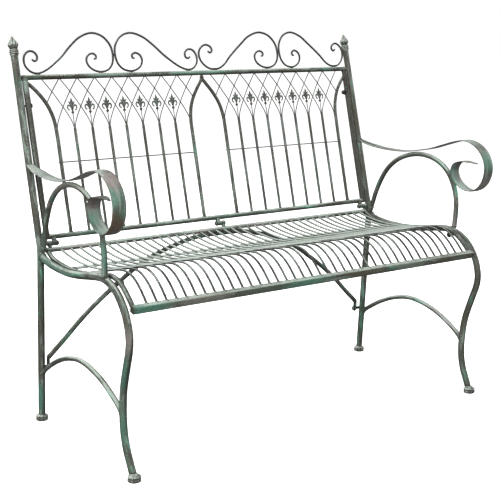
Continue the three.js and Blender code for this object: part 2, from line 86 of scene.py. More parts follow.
FOOT_HEIGHT = 17.0
FRONT_FOOT_Y = -504.5
LEG_INSET = 8.0
POST_INSET = 4.0
POST_NARROWS_TO = 1020
KNEE = 330
STRETCHER_INSET = 5.0
ARCH_SPLAY = 8.0
ARCH_LEAN = 5.0
ARCH_INSET = 3.0
ARM_SPLAY = 20.0
BACK_TILT = math.radians(14.2)
BACK_FOOT = (-34.0, 475.0)
BACK_TOP = 457.0
BACK_BOTTOM = 34.0
RIM_SHIFT = 1.0
BACK_SHIFT = 6.0
STILE_X = 542.3
FIRST_BAR = 57.0
LAST_BAR = 477.0
PITCH = 52.3
SPINDLES = 7
FORK = 316.0
FLEUR = 359.5
TIE = 228.0
POST_TOP = 519.0
POST_BOLT = 382.0
SEAT_RODS = 39
ROD_PITCH = 26.9
SEAT_SIDE_X = 543.0
SEAT_SHIFT = -3.5
SEAT_BACK_RAIL = (-40.0, 476.0)
FRONT_RAIL = (-505.0, 416.0)
FRONT_RAIL_HALF = 9.0
FRONT_RAIL_TILT = math.radians(15)
STRIPS_Y = (-190.0, -288.0)
STRIP_HALF = 11.0
STRIP_THICK = 3.0
ARM_HALF = 18.0
ARM_THICK = 3.0
ARM_TIP_Y = -411.0
SEAT_BOLT = (-427.0, 461.0)
BRACE_FOOT_Y = 9.0
REAR_LEG_SLOPE = 34 / 475
TAB_X = 541.0
TAB_BOLT_Z = 149.0
POST_NUTS = (3.0, 13.0)
CONNECTORS = (529.5, -3.0, 534.5)
CONNECTOR_AT = (-34.0, 492.0)
BARREL = 7.0
SHANK = 3.0

# side frame lines, as (y, z)
LEG_LINE = [(-36, 466), (-62, 456), (-100, 449.5), (-150, 446.5), (-209, 447), (-265, 453),
            (-320, 461.5), (-373, 468.5), (-402, 467.5), (-431, 460), (-459, 445), (-482, 423),
            (-499, 397), (-509, 368), (-511.5, 343), (-507, 318), (-495, 285), (-482, 250),
            (-470.5, 212), (-464, 165), (-463, 130), (-466, 97), (-474, 68), (-484, 46),
            (-494, 26), (-500, 12)]
ARCH_LINE = [(-44, 474), (-55, 505), (-68, 540), (-90, 583), (-118, 620), (-160, 651),
             (-205, 668), (-250, 675), (-298, 671), (-338, 657), (-368, 636), (-391, 605),
             (-404, 575), (-409, 545), (-409, 515), (-406, 474)]
ARM_LINE = [(14, 697), (-20, 689), (-60, 683), (-105, 679), (-150, 677.5), (-205, 680),
            (-250, 687), (-300, 697), (-350, 712), (-395, 725), (-430, 730), (-462, 724),
            (-492, 706), (-511, 680), (-516, 652), (-509, 624), (-492, 602), (-466, 589),
            (-438, 589), (-411, 601), (-392, 620), (-386, 642), (-396, 661), (-418, 669),
            (-443, 669.5), (-474, 667)]
STRETCHER_LINE = [(-9, 128), (-25, 145), (-58, 166), (-96, 187), (-143, 208), (-189, 222),
                  (-234, 229.5), (-278, 228), (-322, 220), (-365, 207), (-408, 187),
                  (-438, 170), (-464, 149)]
SEAT_SIDE_LINE = [(-40, 474), (-68, 460), (-127, 451), (-185, 449), (-242, 452.5),
                  (-323, 464), (-375, 473), (-405, 474), (-430, 469), (-455, 457),
                  (-478, 439), (-500, 418)]
SEAT_ROD_LINE = [(-44.5, 476), (-66, 471), (-120, 463), (-200, 459), (-300, 467.5),
                 (-380, 481.5), (-412, 482), (-442, 472.5), (-470, 453.5), (-500, 424)]
# back panel lines, as (x, distance up the tilted plane)
OUTER_BAR_LINE = [(548, 447), (533, 434.5), (520, 420.5), (508.5, 406), (499.5, 392.5),
                  (492, 378), (486.5, 364), (482, 349), (479.5, 335), (478, 318), (477, 290),
                  (477, 34)]
INNER_BAR_LINE = [(-8, 449), (0, 440), (12.5, 424), (25, 407), (35, 391.5), (43, 376.5),
                  (49, 361.5), (52.7, 347), (55.3, 332), (56.8, 317), (57, 290), (57, 34)]
WIRE_LINE = [(2.2, 300), (2.3, 319), (5.8, 334), (13, 350), (26.2, 374.5), (52.3, 416.5),
             (81.6, 457)]
SCROLL_LINE = [(245, 505), (238, 500), (231, 503), (229, 514), (236, 524), (248, 527),
               (260, 521), (267, 507), (266, 489), (256, 475), (244, 468.5), (231, 467.5),
               (207, 476), (162, 508), (128, 540), (98, 563), (60, 575), (28, 565), (8, 540),
               (3.6, 513), (9, 489), (24, 473), (48, 467.5), (70, 474), (83, 487), (86, 501),
               (80, 513), (66, 518.5), (56, 512), (57.5, 504), (63, 503)]
WIDE_CURL = [(243, 520), (235.5, 515.5), (228.5, 522), (232.5, 533), (248, 539), (264, 531),
             (272.5, 516), (271.5, 498), (262, 482), (245, 469.5), (228, 467.3), (213, 469),
             (195, 479), (168, 506)]
WIDE_SCROLL_LINE = [*WIDE_CURL, *SCROLL_LINE[len(WIDE_CURL):]]
SCROLLS = {
    "scroll_left_outer": (-275, -1, 1.0, SCROLL_LINE),
    "scroll_left_inner": (-275, 1, 1.0, SCROLL_LINE),
    "scroll_right_inner": (288, -1, 1.05, WIDE_SCROLL_LINE),
    "scroll_right_outer": (288, 1, 0.92, WIDE_SCROLL_LINE),
}
# the brace, as (x, z), from the middle out to its bolted tab
BRACE_LINE = [(0, 460.5), (40, 460), (80, 457.5), (115, 451), (152, 441.5), (190, 430),
              (231, 415), (265, 398), (299, 377), (342, 347), (379, 320), (418, 289),
              (458, 252.5), (498, 213), (536, 177.5)]

X_AXIS = Vector((1, 0, 0))
Y_AXIS = Vector((0, 1, 0))
Z_AXIS = Vector((0, 0, 1))
BACK_UP = Vector((0, math.sin(BACK_TILT), math.cos(BACK_TILT)))
BACK_OUT = Vector((0, -math.cos(BACK_TILT), math.sin(BACK_TILT)))

# the camera, in millimetres and degrees
CAMERA_PLACE = (-1692.6, -2617.8, 1046.4)
CAMERA_DOWN = 11.62
CAMERA_TURN = -34.78
CAMERA_LENS = 77.84
CAMERA_SENSOR = 36.0

# light, in watts and in strengths of the room around the bench
KEY = 95
FRONT = 110
SIDE = 70
RIGHT = 130
BEHIND = 170
ROOM_LOW = 0.22
ROOM_HIGH = 0.6
FLOOR_GLOW = 0.75
FLOOR_SIZE = 60

# painted shade: faces turned square to this fixed direction, as the sides of the tubes are, get a
# dark colour; faces turned to it or away from it keep their paint colour
PAINTED_SHADE_AXIS = (-0.6, -0.6, 0.53)
# faces turned to or away from a second direction, from the right front, escape the painted shade
# too, at this share
SECOND_PAINTED_SHADE_AXIS = (0.6, -0.6, 0.53)
SECOND_AXIS_SHARE = 0.62
# and the direction of the painted highlight: faces turned to it get the pale coat
PAINTED_HIGHLIGHT_FROM = (-0.4, -0.12, 0.91)

# soft patches on the armrests: (middle, radius, colour), left ones first
ARM_SPOTS = (
    ((-0.58, -0.15, 0.68), 0.12, "87938c"), ((-0.58, -0.34, 0.71), 0.09, "8a8280"),
    ((-0.585, -0.478, 0.716), 0.035, "857a76"), ((-0.6, -0.508, 0.68), 0.03, "487463"),
    ((-0.57, -0.512, 0.64), 0.022, "4b7766"), ((-0.585, -0.5, 0.612), 0.042, "5e4a3b"),
    ((-0.585, -0.44, 0.588), 0.03, "567f70"), ((-0.585, -0.392, 0.655), 0.035, "7d7572"),
    ((-0.585, -0.39, 0.61), 0.026, "567f70"), ((0.58, -0.25, 0.69), 0.15, "9a9491"),
    ((0.585, -0.44, 0.73), 0.04, "8d9a92"), ((0.585, -0.512, 0.68), 0.035, "4d7767"),
    ((0.585, -0.49, 0.602), 0.045, "837a77"), ((0.585, -0.39, 0.625), 0.045, "4d5a54"),
)
# on the rails of the back panel and the connectors
BACK_RAIL_SPOTS = (
    ((-0.45, 0.078, 0.918), 0.1, "32291f"), ((-0.3, 0.078, 0.918), 0.07, "7d968a"),
    ((0.0, 0.078, 0.918), 0.1, "6f8d80"), ((0.3, 0.078, 0.918), 0.1, "463f34"),
    ((0.05, -0.026, 0.508), 0.12, "3f5349"), ((-0.4, -0.026, 0.508), 0.1, "47705f"),
)
# on its left stile
STILE_SPOTS = (((-0.541, 0.07, 0.905), 0.035, "9db0a6"),)
# on the square front rail
FRONT_RAIL_SPOTS = [((x, -0.505, 0.416), radius, colour) for x, radius, colour in (
    (-0.52, 0.08, "4b826f"), (-0.36, 0.1, "76786f"), (-0.2, 0.09, "4f5a4d"),
    (-0.04, 0.08, "4d7f6d"), (0.14, 0.09, "4e4a3c"), (0.3, 0.08, "6f7a70"),
    (0.46, 0.1, "4a4b3e"))]
# and on the tubes of the side frames
TUBE_SPOTS = (
    ((-0.565, -0.022, 0.33), 0.11, "3a3c32"), ((-0.565, -0.004, 0.07), 0.05, "3f6e5e"),
    ((-0.56, -0.408, 0.53), 0.05, "3f7060"), ((-0.56, -0.12, 0.45), 0.1, "4a6f60"),
    ((-0.56, -0.495, 0.27), 0.06, "426e5e"), ((-0.56, -0.463, 0.13), 0.05, "386455"),
    ((-0.56, -0.508, 0.34), 0.04, "6f6765"), ((-0.56, -0.2, 0.67), 0.09, "928b87"),
    ((-0.56, -0.39, 0.6), 0.04, "5a8f7d"), ((0.565, 0.06, 0.8), 0.14, "433c33"),
    ((0.56, -0.47, 0.2), 0.07, "45463b"),
    ((-0.56, -0.33, 0.215), 0.09, "4d5a4b"), ((-0.56, -0.44, 0.17), 0.05, "55695c"),
    ((0.565, -0.1, 0.6), 0.1, "454741"), ((0.565, -0.25, 0.675), 0.09, "56625a"),
    ((0.565, -0.4, 0.52), 0.06, "3c4a42"),
)

rng = random.Random(7)


# ---- camera, floor and light -------------------------------------------------------
def make_camera():
    data = bpy.data.cameras.new("camera")
    data.sensor_width = CAMERA_SENSOR
    data.lens = CAMERA_LENS
    camera = bpy.data.objects.new("camera", data)
    x, y, z = CAMERA_PLACE
    camera.location = (x * MM, (y + DEPTH) * MM, z * MM)
    camera.rotation_euler = (math.radians(90 - CAMERA_DOWN), 0, math.radians(CAMERA_TURN))
    bpy.context.scene.collection.objects.link(camera)
    bpy.context.scene.camera = camera


def area_light(name, place, size, power, colour):
    """A round lamp that points at the middle of the bench."""
    data = bpy.data.lights.new(name, "AREA")
    data.shape = "DISK"
    data.size = size
    data.energy = power
    data.color = colour
    light = bpy.data.objects.new(name, data)
    light.location = place
    aim = Vector((0, 0, 0.5)) - light.location
    light.rotation_euler = aim.to_track_quat("-Z", "Y").to_euler()
    bpy.context.scene.collection.objects.link(light)


def make_studio():
    """White to the camera, and to the bench a dim room with soft lights around it."""
    g = Graph(bpy.data.worlds.new("studio"))
    to_camera = g.node("LightPath", "Is Camera Ray")
    up = g.node("SeparateXYZ", "Z", {"Vector": g.node("TexCoord", "Generated")})
    room = g.node("MapRange", "Result", {"Value": up, "From Min": 0.1, "To Min": ROOM_LOW,
                                         "To Max": ROOM_HIGH})
    g.fill("Background", {"Color": (1, 1, 1, 1), "Strength": g.maths("MAXIMUM", to_camera, room)})
    bpy.context.scene.world = g.owner
    bpy.context.scene.view_settings.view_transform = "Standard"
    area_light("key", (-2.7, -1.9, 3.3), 1.5, KEY, (1, 0.99, 0.97))
    area_light("front", (-1.2, -4.2, 1.7), 1.6, FRONT, (0.98, 1, 1))
    area_light("side", (-4.2, -0.9, 1.2), 1.2, SIDE, (1, 1, 0.99))
    area_light("right", (4.2, -0.4, 1.6), 1.6, RIGHT, (1, 1, 1))
    area_light("back", (-0.4, 4.0, 2.2), 2.0, BEHIND, (0.97, 0.99, 1))

    bpy.ops.mesh.primitive_plane_add(size=FLOOR_SIZE, location=(0, 0, 0))
    floor = bpy.context.active_object
    floor.name = "floor"
    g = Graph(bpy.data.materials.new("floor_paper"))
    to_camera = g.node("LightPath", "Is Camera Ray")
    g.fill(SHADER, {
        "Base Color": g.mix(to_camera, (0.3, 0.3, 0.3, 1), (0.9, 0.9, 0.9, 1)),
        "Roughness": 1.0, "Specular IOR Level": 0.0, "Emission Color": (1, 1, 1, 1),
        "Emission Strength": g.maths("MULTIPLY", to_camera, FLOOR_GLOW)})
    floor.data.materials.append(g.owner)
    floor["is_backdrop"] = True


def in_frame(point):
    """A point given in metres from the rear feet, moved to the bench's own frame."""
    x, y, z = point
    return (x, y + DEPTH * MM, z)


# ---- materials ---------------------------------------------------------------------
SHADER = "Principled BSDF"


def linear(code):
    """An sRGB colour such as '5d7a6c' as linear RGBA."""
    parts = [int(code[k:k + 2], 16) / 255 for k in (0, 2, 4)]
    flat = [c / 12.92 if c <= 0.04045 else ((c + 0.055) / 1.055) ** 2.4 for c in parts]
    return (*flat, 1.0)


class Graph:
    """Short calls for building the nodes of one material or world."""

    def __init__(self, owner):
        owner.use_nodes = True
        self.owner = owner
        self.nodes, self.links = owner.node_tree.nodes, owner.node_tree.links

    def plug(self, value, socket):
        if isinstance(value, bpy.types.NodeSocket):
            self.links.new(value, socket)
        else:
            socket.default_value = value

    def fill(self, name, inputs):
        """Links or sets inputs of a node that is already there."""
        for socket, value in inputs.items():
            self.plug(value, self.nodes[name].inputs[socket])

    def node(self, kind, output, inputs=None, **settings):
        """Adds a node with its settings and inputs, and gives one of its outputs."""
        node = self.nodes.new("ShaderNode" + kind)
        for name, value in settings.items():
            setattr(node, name, value)
        self.fill(node.name, inputs or {})
        return node.outputs[output]

    def grain(self):
        return self.node("Attribute", "Vector", attribute_name="grain")

    def wear(self):
        return self.node("Attribute", "Fac", attribute_name="wear")

    def place(self):
        return self.node("TexCoord", "Object")

    def facing(self, direction):
        """How far the surface faces a fixed direction, from -1 to 1."""
        normal = self.node("NewGeometry", "Normal")
        return self.node("VectorMath", "Value", {0: normal, 1: Vector(direction).normalized()},
                         operation="DOT_PRODUCT")

    def depth(self, vector):
        """How far back a place is, in metres from the rear feet."""
        y = self.node("SeparateXYZ", "Y", {"Vector": vector})
        return self.maths("SUBTRACT", y, DEPTH * MM)

    def distance(self, vector, point):
        return self.node("VectorMath", "Value", {0: vector, 1: point}, operation="DISTANCE")

    def scaled(self, vector, scale, shift=(0, 0, 0)):
        return self.node("Mapping", "Vector",
                         {"Vector": vector, "Scale": scale, "Location": shift})

    def noise(self, vector, detail, rough, distort=0.0):
        return self.node("TexNoise", "Fac", {
            "Vector": vector, "Scale": 1.0, "Detail": detail, "Roughness": rough,
            "Distortion": distort})

    def maths(self, operation, a, b=0.0):
        return self.node("Math", "Value", {0: a, 1: b}, operation=operation)

    def times(self, a, b):
        return self.maths("MULTIPLY", a, b)

    def plus(self, a, b, weight=1.0):
        """a and so much of b."""
        return self.maths("ADD", a, self.times(b, weight))

    def step(self, value, low, high, low_out=0.0, high_out=1.0):
        """Rises smoothly from low_out to high_out between low and high."""
        return self.node("MapRange", "Result", {
            "Value": value, "From Min": low, "From Max": high, "To Min": low_out,
            "To Max": high_out}, interpolation_type="SMOOTHSTEP")

    def mix(self, factor, a, b):
        return self.node("Mix", "Result", {"Factor": factor, "A": a, "B": b},
                         data_type="RGBA")

    def coat(self, colour, mask, strength, shade):
        """Lays a shade over the colour where the mask shows."""
        return self.mix(self.times(mask, strength), colour, linear(shade))

    def two_tone(self, value, low, high, shade, other):
        return self.mix(self.step(value, low, high), linear(shade), linear(other))

    def bump(self, height, strength, distance, under=None):
        inputs = {"Strength": strength, "Distance": distance, "Height": height}
        if under is not None:
            inputs["Normal"] = under
        return self.node("Bump", "Normal", inputs)


def verdigris(name, highlight, teal, mauve, olive, dark=0.0, edge_shade=0.86, size=1.0, speckle=0.5,
              spots=(), highlight_span=None):
    """Verdigris paint over dark steel, in streaks with a fine mottle, with painted light and
    shade.

    The first four numbers say how much shows of a pale coat, which is a painted highlight on
    faces turned to the upper left, and of teal, mauve and olive paint. dark darkens all but the
    upward faces; the number after it says how dark the painted shade is on the sides turned
    square to two fixed directions and on faces not turned up. size is how large the streaks are
    and speckle how strong the fine mottle is. Each of the spots is a soft patch of one colour:
    its middle, its radius and the colour. The last gives four distances back: the painted
    highlight spreads further from the first to the second, and falls back to 0.4 of that from
    the third to the fourth.
    """
    g = Graph(bpy.data.materials.new("verdigris_" + name))
    grain, place = g.grain(), g.place()
    wide, long = 85 / size, 13 / size
    brush = g.noise(g.scaled(grain, (wide, wide, long)), 4.0, 0.6)
    brush_2 = g.noise(g.scaled(grain, (wide, wide, 0.8 * long), (3, 1, 7)), 4.0, 0.6, 0.3)
    broad = g.noise(g.scaled(place, (7, 7, 7), (1, 5, 2)), 2.0, 0.5, 0.3)
    broad_2 = g.noise(g.scaled(place, (9, 9, 9), (8, 2, 9)), 2.0, 0.5, 0.4)
    mottle = g.noise(g.scaled(grain, (330, 330, 210), (2, 9, 4)), 5.0, 0.68)
    fine = g.noise(g.scaled(grain, (1000, 1000, 800), (5, 2, 6)), 2.0, 0.6)
    scratch = g.noise(g.scaled(grain, (900, 900, 90), (4, 4, 1)), 2.0, 0.7)
    # how far each face turns to or away from the two fixed directions of the painted shade
    second = g.times(g.maths("ABSOLUTE", g.facing(SECOND_PAINTED_SHADE_AXIS)), SECOND_AXIS_SHARE)
    facing_shade_axes = g.maths("MAXIMUM", g.maths("ABSOLUTE", g.facing(PAINTED_SHADE_AXIS)), second)
    up = g.facing((0, 0, 1))
    # a band where the painted highlight spreads and the painted shade is lighter
    highlight_band = 0.0
    if highlight_span:
        back = g.depth(place)
        highlight_band = g.times(g.step(back, *highlight_span[:2]), g.step(back, *highlight_span[2:], 1.0, 0.4))

    colour = g.two_tone(brush, 0.43, 0.57, "3b403b", "747f77")

    level = g.plus(g.times(broad, 0.6), brush, 0.6)
    mask = g.step(level, 0.76 - 0.3 * teal, 0.84 - 0.3 * teal)
    green = g.two_tone(mottle, 0.4, 0.6, "2f705b", "62a68c")
    colour = g.mix(g.times(mask, 0.9), colour, green)

    level = g.plus(g.times(broad_2, 0.6), brush_2, 0.6)
    mask = g.step(level, 0.79 - 0.3 * mauve, 0.87 - 0.3 * mauve)
    colour = g.coat(colour, mask, 0.85, "8d807d")

    mask = g.step(g.plus(brush_2, mottle, 0.6), 0.94 - 0.5 * olive, 1.04 - 0.5 * olive)
    colour = g.coat(colour, mask, 0.85, "38342a")

    for middle, radius, shade in spots:
        gap = g.maths("DIVIDE", g.distance(place, in_frame(middle)), radius)
        mask = g.step(g.plus(gap, brush, 2.2), 1.35, 2.3, 0.75, 0.0)
        colour = g.mix(mask, colour, linear(shade))
    colour = g.mix(dark, colour, linear("1d1e1b"))

    # painted highlight: a pale coat on faces turned to the upper left, broken up by streaks and
    # mottle
    level = g.plus(g.times(g.facing(PAINTED_HIGHLIGHT_FROM), 0.5), brush, 0.5)
    level = g.plus(g.plus(level, mottle, 0.4), highlight_band, 0.3)
    mask = g.step(level, 0.86 - 0.3 * highlight, 0.98 - 0.3 * highlight)
    colour = g.coat(colour, mask, 0.8, "aeb8af")

    colour = g.coat(colour, g.step(scratch, 0.6, 0.66), 0.55 * speckle, "2b2a25")
    colour = g.coat(colour, g.step(mottle, 0.54, 0.64), 0.6 * speckle, "25261f")
    # fine pale flecks of paint, with more on faces turned up as painted highlight
    colour = g.coat(colour, g.step(g.plus(fine, up, 0.06), 0.6, 0.7), 0.6 * speckle, "c6cfc8")

    # painted shade: the sides turned square to both fixed directions, and faces not turned up, go
    # dark
    edge = g.plus(g.plus(facing_shade_axes, brush, 0.3), g.maths("MAXIMUM", up, 0.0), 0.35)
    edge = g.plus(edge, highlight_band, 0.35)
    colour = g.mix(g.step(edge, 0.5, 0.98, edge_shade, 0.0), colour, linear("24231c"))
    worn = g.two_tone(mottle, 0.4, 0.6, "211f1a", "41382d")
    colour = g.mix(g.times(g.wear(), 0.85), colour, worn)

    coarse = g.bump(g.maths("ADD", brush, mottle), 0.4, 0.0007)
    g.fill(SHADER, {"Base Color": colour, "Roughness": g.step(mottle, 0.3, 0.7, 0.52, 0.72),
                    "Metallic": 0.1, "Specular IOR Level": 0.3,
                    "Normal": g.bump(fine, 0.35, 0.0003, coarse)})
    return g.owner


def fixing_metal(name):
    """Dark painted bolts, worn to steel on their high spots."""
    g = Graph(bpy.data.materials.new(name))
    rubs = g.noise(g.scaled(g.grain(), (300, 300, 300)), 4.0, 0.6)
    colour = g.two_tone(rubs, 0.55, 0.7, "23261f", "5a5f58")
    colour = g.mix(g.step(g.wear(), 0.3, 0.9, 0.0, 0.6), colour, linear("737a73"))
    g.fill(SHADER, {"Base Color": colour, "Roughness": g.step(rubs, 0.3, 0.7, 0.55, 0.38),
                    "Metallic": 0.5, "Normal": g.bump(rubs, 0.3, 0.0004)})
    return g.owner


# ---- shapes ------------------------------------------------------------------------
def ramp(value, start, end):
    return max(0.0, min(1.0, (value - start) / (end - start)))


def smooth(points, spacing):
    """A centripetal Catmull-Rom curve through the points, as evenly spaced points."""
    points = [Vector(p) for p in points]
    points = [2 * points[0] - points[1], *points, 2 * points[-1] - points[-2]]
    dense = []
    for a, b, c, d in zip(points, points[1:], points[2:], points[3:]):
        t1 = (b - a).length ** 0.5
        t2 = t1 + (c - b).length ** 0.5
        t3 = t2 + (d - c).length ** 0.5
        parts = max(2, math.ceil((c - b).length / spacing * 2))
        for k in range(parts):
            t = t1 + (t2 - t1) * k / parts
            ab = a.lerp(b, t / t1)
            bc = b.lerp(c, (t - t1) / (t2 - t1))
            cd = c.lerp(d, (t - t2) / (t3 - t2))
            abc = ab.lerp(bc, t / t2)
            bcd = bc.lerp(cd, (t - t1) / (t3 - t1))
            dense.append(abc.lerp(bcd, (t - t1) / (t2 - t1)))
    dense.append(points[-2])
    return evenly(dense, spacing)


def evenly(points, spacing):
    """The same line with points about one spacing apart."""
    lengths = [0.0]
    for a, b in zip(points, points[1:]):
        lengths.append(lengths[-1] + (b - a).length)
    steps = max(1, round(lengths[-1] / spacing))
    line, k = [], 0
    for i in range(steps + 1):
        want = lengths[-1] * i / steps
        while k < len(lengths) - 2 and lengths[k + 1] < want:
            k += 1
        part = (want - lengths[k]) / max(lengths[k + 1] - lengths[k], 1e-9)
        line.append(points[k].lerp(points[k + 1], min(part, 1.0)))
    return line


def between(start, end, spacing=12.0):
    return evenly([Vector(start), Vector(end)], spacing)


def in_side(line, x=FRAME_HALF):
    return [Vector((x, y, z)) for y, z in line]


def read_off(pairs, at):
    """The second value that goes with a first value, between sorted pairs."""
    for (low, value), (high, other) in zip(pairs, pairs[1:]):
        if low <= at <= high:
            return value + (other - value) * (at - low) / max(high - low, 1e-9)
    return pairs[-1][1] if at > pairs[-1][0] else pairs[0][1]


def on_back(x, up, out=0.0):
    return Vector((x, BACK_FOOT[0], BACK_FOOT[1])) + BACK_UP * up + BACK_OUT * out


def on_back_line(line):
    return [on_back(x, up) for x, up in line]


def random_offset():
    return Vector((rng.uniform(-1, 1), rng.uniform(-1, 1), rng.uniform(-1, 1)))


def lump(angle, around, phase, along):
    """Smooth noise from -1 to 1 that closes up round a turned shape."""
    return noise.noise(Vector((math.cos(angle) * around + phase, math.sin(angle) * around,
                               along)))


def circle(radius, sides):
    angles = [2 * math.pi * k / sides for k in range(sides)]
    return [(radius * math.cos(a), radius * math.sin(a)) for a in angles]


def rounded_box(half_u, half_v, radius, corner):
    """A rectangle with round corners, as (u, v)."""
    outline = []
    for sign_u, sign_v, start in ((1, 1, 0), (-1, 1, 90), (-1, -1, 180), (1, -1, 270)):
        for k in range(corner + 1):
            a = math.radians(start + 90 * k / corner)
            outline.append((sign_u * (half_u - radius) + radius * math.cos(a),
                            sign_v * (half_v - radius) + radius * math.sin(a)))
    return outline


class Shell:
    """Closed shapes gathered for one piece.

    Every vertex keeps a grain coordinate (two across the bar and one along it) and a
    wear value, 1 where paint is gone and dirt has gathered.
    """

    def __init__(self):
        self.points = []
        self.faces = []
        self.grain = []
        self.wear = []

    def rings(self, rings, grain, wear):
        """Skins equal rings of points and closes both ends."""
        base, count = len(self.points), len(rings[0])
        for ring in rings:
            self.points.extend(ring)
        self.grain.extend(grain)
        self.wear.extend(wear)
        for i in range(len(rings) - 1):
            for j in range(count):
                a = base + i * count + j
                b = base + i * count + (j + 1) % count
                self.faces.append((a, b, b + count, a + count))
        last = base + (len(rings) - 1) * count
        self.faces.append(tuple(range(base + count - 1, base - 1, -1)))
        self.faces.append(tuple(range(last, last + count)))

    def sweep(self, path, outline, side, edge=None, end_wear=9.0):
        """Carries outline(t, s) along a path; side is the outline's first axis.

        edge, if given, says how worn each point of the outline is.
        """
        seed = random_offset()
        total = sum((b - a).length for a, b in zip(path, path[1:]))
        rings, grain, wear = [], [], []
        along, last = 0.0, len(path) - 1
        for i, point in enumerate(path):
            if i:
                along += (point - path[i - 1]).length
            tangent = (path[min(i + 1, last)] - path[max(i - 1, 0)]).normalized()
            axis = (side - tangent * side.dot(tangent)).normalized()
            normal = tangent.cross(axis)
            section = outline(i / last, along)
            rings.append([point + axis * u + normal * v for u, v in section])
            grain.extend(Vector((u, v, along)) * MM + seed for u, v in section)
            near = max(0.0, 1 - min(along, total - along) / end_wear) if end_wear else 0.0
            for j in range(len(section)):
                wear.append(max(near, edge(j) if edge else 0.0))
        self.rings(rings, grain, wear)

    def tube(self, path, radius, side, sides, taper=None, uneven=0.012):
        """A round bar with softly rounded ends; taper(t) scales its radius."""
        start = (path[1] - path[0]).normalized()
        end = (path[-1] - path[-2]).normalized()
        lip = radius * 0.22
        path = [path[0], path[0] + start * lip, *path[1:-1], path[-1] - end * lip, path[-1]]
        last = len(path) - 1
        phase = rng.uniform(0, 50)

        def outline(t, s):
            size = radius * (taper(t) if taper else 1.0)
            if round(t * last) in (0, last):
                size *= 0.8
            ring = []
            for u, v in circle(1.0, sides):
                swell = 1 + uneven * noise.noise(Vector((u * 0.7 + phase, v * 0.7, s * 0.035)))
                ring.append((size * u * swell, size * v * swell))
            return ring

        self.sweep(path, outline, side)

    def lathe(self, profile, centre, axis, segments, relief=None, wear=None):
        """Turns (radius, height) about axis; relief(angle, height) swells the radius."""
        axis = axis.normalized()
        side = X_AXIS if abs(axis.x) < 0.9 else Y_AXIS
        first = (side - axis * side.dot(axis)).normalized()
        second = axis.cross(first)
        seed = random_offset()
        rings, grain, worn = [], [], []
        for radius, height in profile:
            ring = []
            for k in range(segments):
                a = 2 * math.pi * k / segments
                r = radius * (relief(a, height) if relief else 1.0)
                ring.append(centre + axis * height + (first * math.cos(a)
                                                      + second * math.sin(a)) * r)
                grain.append(Vector((r * math.cos(a), r * math.sin(a), height)) * MM + seed)
                worn.append(wear(a, height) if wear else 0.0)
            rings.append(ring)
        self.rings(rings, grain, worn)

    def blob(self, centre, size, axis=None, lumps=0.18, wear=0.6):
        """A small uneven lump of weld; size is (across, along the axis)."""
        axis = axis or Z_AXIS
        phase = rng.uniform(0, 90)
        profile = []
        for k in range(9):
            a = math.pi * (k + 0.15) / 8.3
            profile.append((size[0] * math.sin(a), -size[1] * math.cos(a)))

        self.lathe(profile, centre, axis, 12,
                   lambda a, h: 1 + lumps * lump(a, 1.4, phase, h * 0.6), lambda a, h: wear)

    def weld(self, centre, axis, radius, bead=1.7):
        """A bead of weld round a bar, in small ripples."""
        profile = []
        for k in range(9):
            a = math.pi * k / 8
            profile.append((radius - 0.6 + bead * math.sin(a), -bead * 0.95 * math.cos(a)))
        phase = rng.uniform(0, 9)

        def relief(angle, height):
            ripple = 0.5 + 0.5 * math.sin(angle * 9 + phase)
            return 1 + 0.05 * ripple + 0.06 * lump(angle, 2, phase, height)

        self.lathe(profile, centre, axis, 26, relief, lambda a, h: 0.45)

    def side_weld(self, y, z, along, radius, bead=1.7):
        """A weld on a bar of the side frame that runs along (y, z) there."""
        self.weld(Vector((FRAME_HALF, y, z)), Vector((0, *along)), radius, bead)

    def bend(self, change):
        """Moves every point sideways; change(x, y, z) gives the new x."""
        for p in self.points:
            p.x = change(p.x, p.y, p.z)
        return self

    def mirrored(self):
        other = Shell()
        other.points = [Vector((-p.x, p.y, p.z)) for p in self.points]
        other.faces = [tuple(reversed(f)) for f in self.faces]
        shift = Vector((0.37, 0.61, 0.83))
        other.grain = [g + shift for g in self.grain]
        other.wear = list(self.wear)
        return other


def add_piece(node, shell, material, shift=0.0, angle=38):
    """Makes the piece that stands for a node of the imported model."""
    mesh = bpy.data.meshes.new(node + "_shape")
    place = [((p.x + shift) * MM, (p.y + DEPTH) * MM, p.z * MM) for p in shell.points]
    mesh.from_pydata(place, [], shell.faces)
    work = bmesh.new()
    work.from_mesh(mesh)
    bmesh.ops.recalc_face_normals(work, faces=work.faces)
    work.to_mesh(mesh)
    work.free()
    grain = mesh.attributes.new("grain", "FLOAT_VECTOR", "POINT")
    grain.data.foreach_set("vector", [c for g in shell.grain for c in g])
    wear = mesh.attributes.new("wear", "FLOAT", "POINT")
    wear.data.foreach_set("value", shell.wear)
    mesh.shade_smooth()
    mesh.set_sharp_from_angle(angle=math.radians(angle))
    mesh.materials.append(material)
    piece = bpy.data.objects.new(node + "_shape", mesh)
    bpy.context.scene.collection.objects.link(piece)
    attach(piece, "root")
    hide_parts(node)


def add_pair(name, make, material, shift=0.0):
    """The shape that make() builds is the right-hand one; the left one mirrors it."""
    add_piece(name + "_right", make(), material, shift)
    add_piece(name + "_left", make().mirrored(), material, shift)


# ---- side frames -------------------------------------------------------------------
def leg_inset(x, y, z):
    return x - LEG_INSET * ramp(z, KNEE, 0)


def post_inset(x, y, z):
    return x - POST_INSET * ramp(z, BACK_FOOT[1], POST_NARROWS_TO)


def arch_lean(x, y, z):
    return x - ARCH_INSET + ARCH_SPLAY * ramp(y, -60, -410) + ARCH_LEAN * ramp(z, 470, 675)


def stretcher_lean(x, y, z):
    return x - STRETCHER_INSET * ramp(y, 0, -464)


